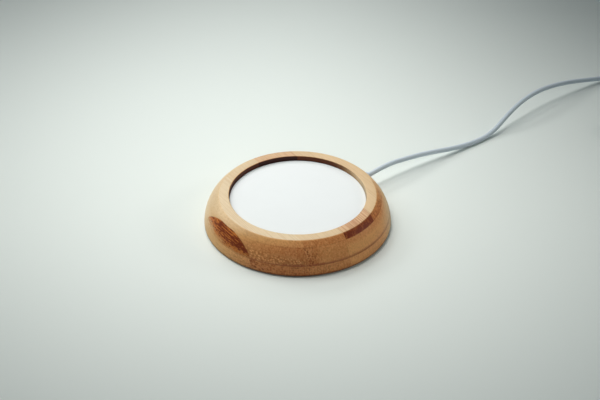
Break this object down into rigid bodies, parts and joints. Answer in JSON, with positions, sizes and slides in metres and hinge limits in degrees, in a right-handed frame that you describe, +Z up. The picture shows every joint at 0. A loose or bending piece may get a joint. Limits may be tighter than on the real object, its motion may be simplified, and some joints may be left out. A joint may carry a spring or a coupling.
{
  "type": "wireless charging pad",
  "caption": "Round wireless charging pad: a turned bamboo ring around a recessed white charging plate, on a silicone foot ring, with a thin captive lead.",
  "frame": {"origin": "on the table, under the middle of the pad", "axes": "+Z up, out of the charging plate; +Y along the lead's way out of the pad; +X completes a right-handed frame"},
  "size_m": [0.0997, 0.3123, 0.0155],
  "materials": {
    "bamboo": "fine-sanded laminated bamboo, thin matte lacquer",
    "white_plate": "fine matte moulded plastic",
    "charcoal_base": "fine matte moulded plastic",
    "adhesive": "double-sided tape",
    "copper": "enamelled copper wire",
    "ferrite": "dull sintered ferrite",
    "foam": "closed-cell foam",
    "board": "glass-fibre board with solder mask",
    "chip": "moulded black epoxy",
    "capacitor": "ceramic with tinned ends",
    "steel": "plated steel",
    "silicone": "matte silicone",
    "lead_jacket": "satin light-grey jacket",
    "core_red": "insulated wire",
    "core_black": "insulated wire",
    "tie": "plastic-coated tie",
    "tongue": "moulded insulator",
    "contact": "gold-plated strip"
  },
  "bodies": {
    "root": {"bamboo_shell": "bamboo", "charging_plate": "white_plate", "plate_bond_ring": "adhesive", "coil_film": "adhesive", "charging_coil": "copper", "ferrite_disc": "ferrite", "foam_pad": "foam", "circuit_board": "board", "controller_chip": "chip", "bridge_transistors": "chip", "resonant_capacitors": "capacitor", "bulk_capacitors": "capacitor", "chip_resistors": "chip", "sense_resistor": "chip", "solder_joints": "steel", "board_screws": "steel", "base_plate": "charcoal_base", "base_screws": "steel", "foot_ring": "silicone", "cable_clamp": "white_plate", "clamp_screws": "steel", "lead_gland": "lead_jacket", "lead_tail": "lead_jacket", "power_core": "core_red", "ground_core": "core_black", "lead": "lead_jacket", "lead_coil": "lead_jacket", "coil_tie": "tie", "plug_grip": "lead_jacket", "plug_shell": "steel", "plug_tongue": "tongue", "plug_contacts": "contact"}
  },
  "joints": []
}
